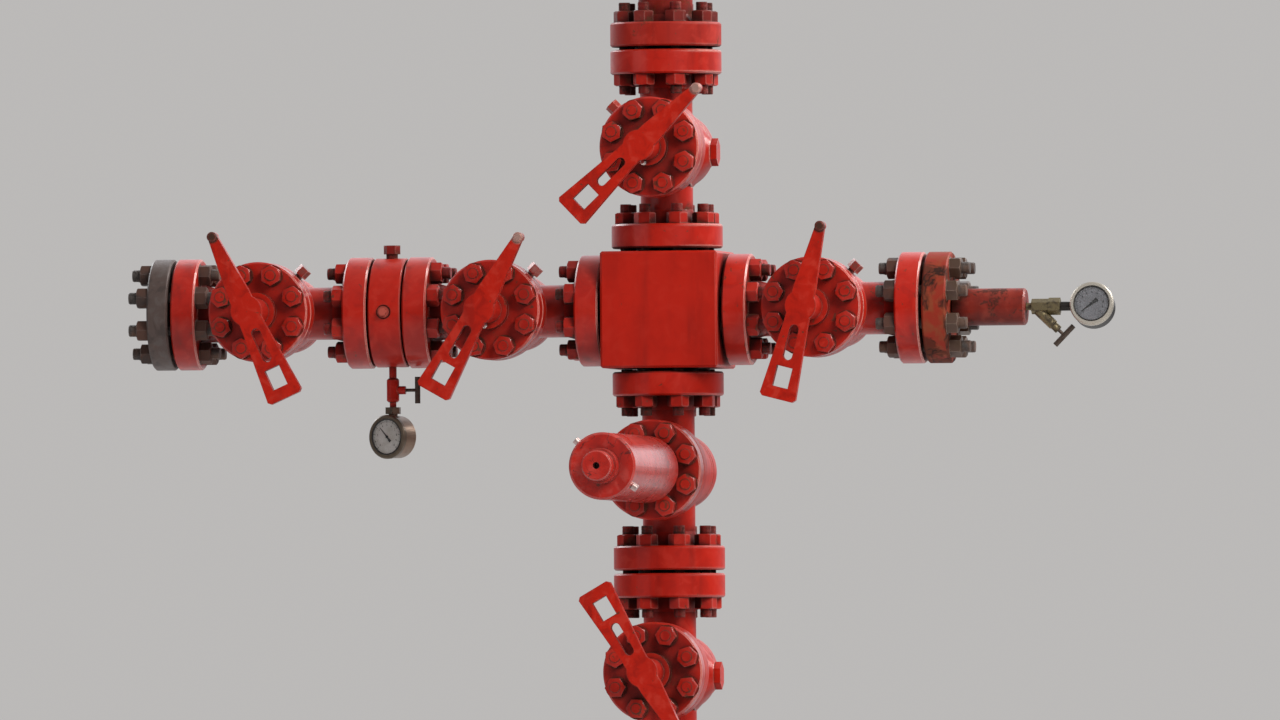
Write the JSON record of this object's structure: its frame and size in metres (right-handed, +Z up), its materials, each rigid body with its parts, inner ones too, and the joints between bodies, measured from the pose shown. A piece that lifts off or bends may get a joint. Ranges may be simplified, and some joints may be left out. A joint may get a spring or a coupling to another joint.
{
  "type": "oil wellhead valve stack",
  "caption": "Red flanged wellhead valve tree on casing and tubing heads: lever valves above and beside a square block, a cylinder actuator, two pressure gauges and turning valve levers.",
  "frame": {"origin": "on the run's axis at ground level, under the base plate", "axes": "+Z up along the run, the arms along X with the longer one towards -X, every valve stem towards -Y"},
  "size_m": [2.38, 1.471, 3.319],
  "materials": {
    "red_paint": "semi-gloss red paint, lightly weathered, grime in the corners",
    "bare_steel": "dark unpainted steel with a thin brown rust film",
    "rusty_steel": "worn red-orange paint with brown rust patches",
    "gasket_steel": "dark soft iron ring",
    "brass": "dull olive brass",
    "gauge_case": "satin steel, a little tarnished",
    "gauge_dial": "pale dial behind clear glass"
  },
  "bodies": {
    "tree": {"base_plate": "bare_steel", "casing_head": "red_paint", "casing_outlet_blinds": "red_paint", "tubing_head": "red_paint", "tubing_outlet_blinds": "red_paint", "tubing_adapter": "red_paint", "lower_master_body": "red_paint", "lower_master_bonnet": "red_paint", "upper_master_body": "red_paint", "upper_master_bonnet": "red_paint", "actuator_cylinder": "red_paint", "actuator_hub": "red_paint", "cross_block": "red_paint", "swab_body": "red_paint", "swab_bonnet": "red_paint", "cap_adapter": "red_paint", "cap_nut": "red_paint", "cap_plug": "red_paint", "inner_wing_body": "red_paint", "inner_wing_bonnet": "red_paint", "gauge_spacer": "red_paint", "spacer_plugs": "red_paint", "outer_wing_body": "red_paint", "outer_wing_bonnet": "red_paint", "blind_flange": "bare_steel", "blind_fasteners": "bare_steel", "right_wing_body": "red_paint", "right_wing_bonnet": "red_paint", "companion_flange": "rusty_steel", "stub_pipe": "red_paint", "left_needle_valve": "red_paint", "left_gauge_case": "gauge_case", "left_gauge_dial": "gauge_dial", "right_needle_valve": "brass", "right_gauge_case": "gauge_case", "right_gauge_dial": "gauge_dial", "ring_gaskets": "gasket_steel"},
    "lower_master_lever": {"lower_master_lever": "red_paint"},
    "swab_lever": {"swab_lever": "red_paint"},
    "inner_wing_lever": {"inner_wing_lever": "red_paint"},
    "outer_wing_lever": {"outer_wing_lever": "red_paint"},
    "right_wing_lever": {"right_wing_lever": "red_paint"},
    "left_needle_handle": {"left_needle_handle": "bare_steel"},
    "right_needle_handle": {"right_needle_handle": "bare_steel"}
  },
  "joints": [
    {"name": "lower_master_turn", "type": "hinge", "parent": "tree", "child": "lower_master_lever", "pos_m": [0, -0.41, 1.546], "axis": [0, 1, 0], "range_deg": [0, 90]},
    {"name": "swab_turn", "type": "hinge", "parent": "tree", "child": "swab_lever", "pos_m": [0, -0.41, 2.802], "axis": [0, 1, 0], "range_deg": [0, 90]},
    {"name": "inner_wing_turn", "type": "hinge", "parent": "tree", "child": "inner_wing_lever", "pos_m": [-0.388, -0.41, 2.416], "axis": [0, 1, 0], "range_deg": [0, 90]},
    {"name": "outer_wing_turn", "type": "hinge", "parent": "tree", "child": "outer_wing_lever", "pos_m": [-0.952, -0.41, 2.416], "axis": [0, 1, 0], "range_deg": [0, 90]},
    {"name": "right_wing_turn", "type": "hinge", "parent": "tree", "child": "right_wing_lever", "pos_m": [0.388, -0.41, 2.416], "axis": [0, 1, 0], "range_deg": [0, 90]},
    {"name": "left_needle_turn", "type": "hinge", "parent": "tree", "child": "left_needle_handle", "pos_m": [-0.639, 0, 2.23], "axis": [1, 0, 0], "range_deg": [0, 720]},
    {"name": "right_needle_turn", "type": "hinge", "parent": "tree", "child": "right_needle_handle", "pos_m": [0.94735, 0, 2.35937], "axis": [0.7193, 0, -0.6947], "range_deg": [0, 720]}
  ]
}
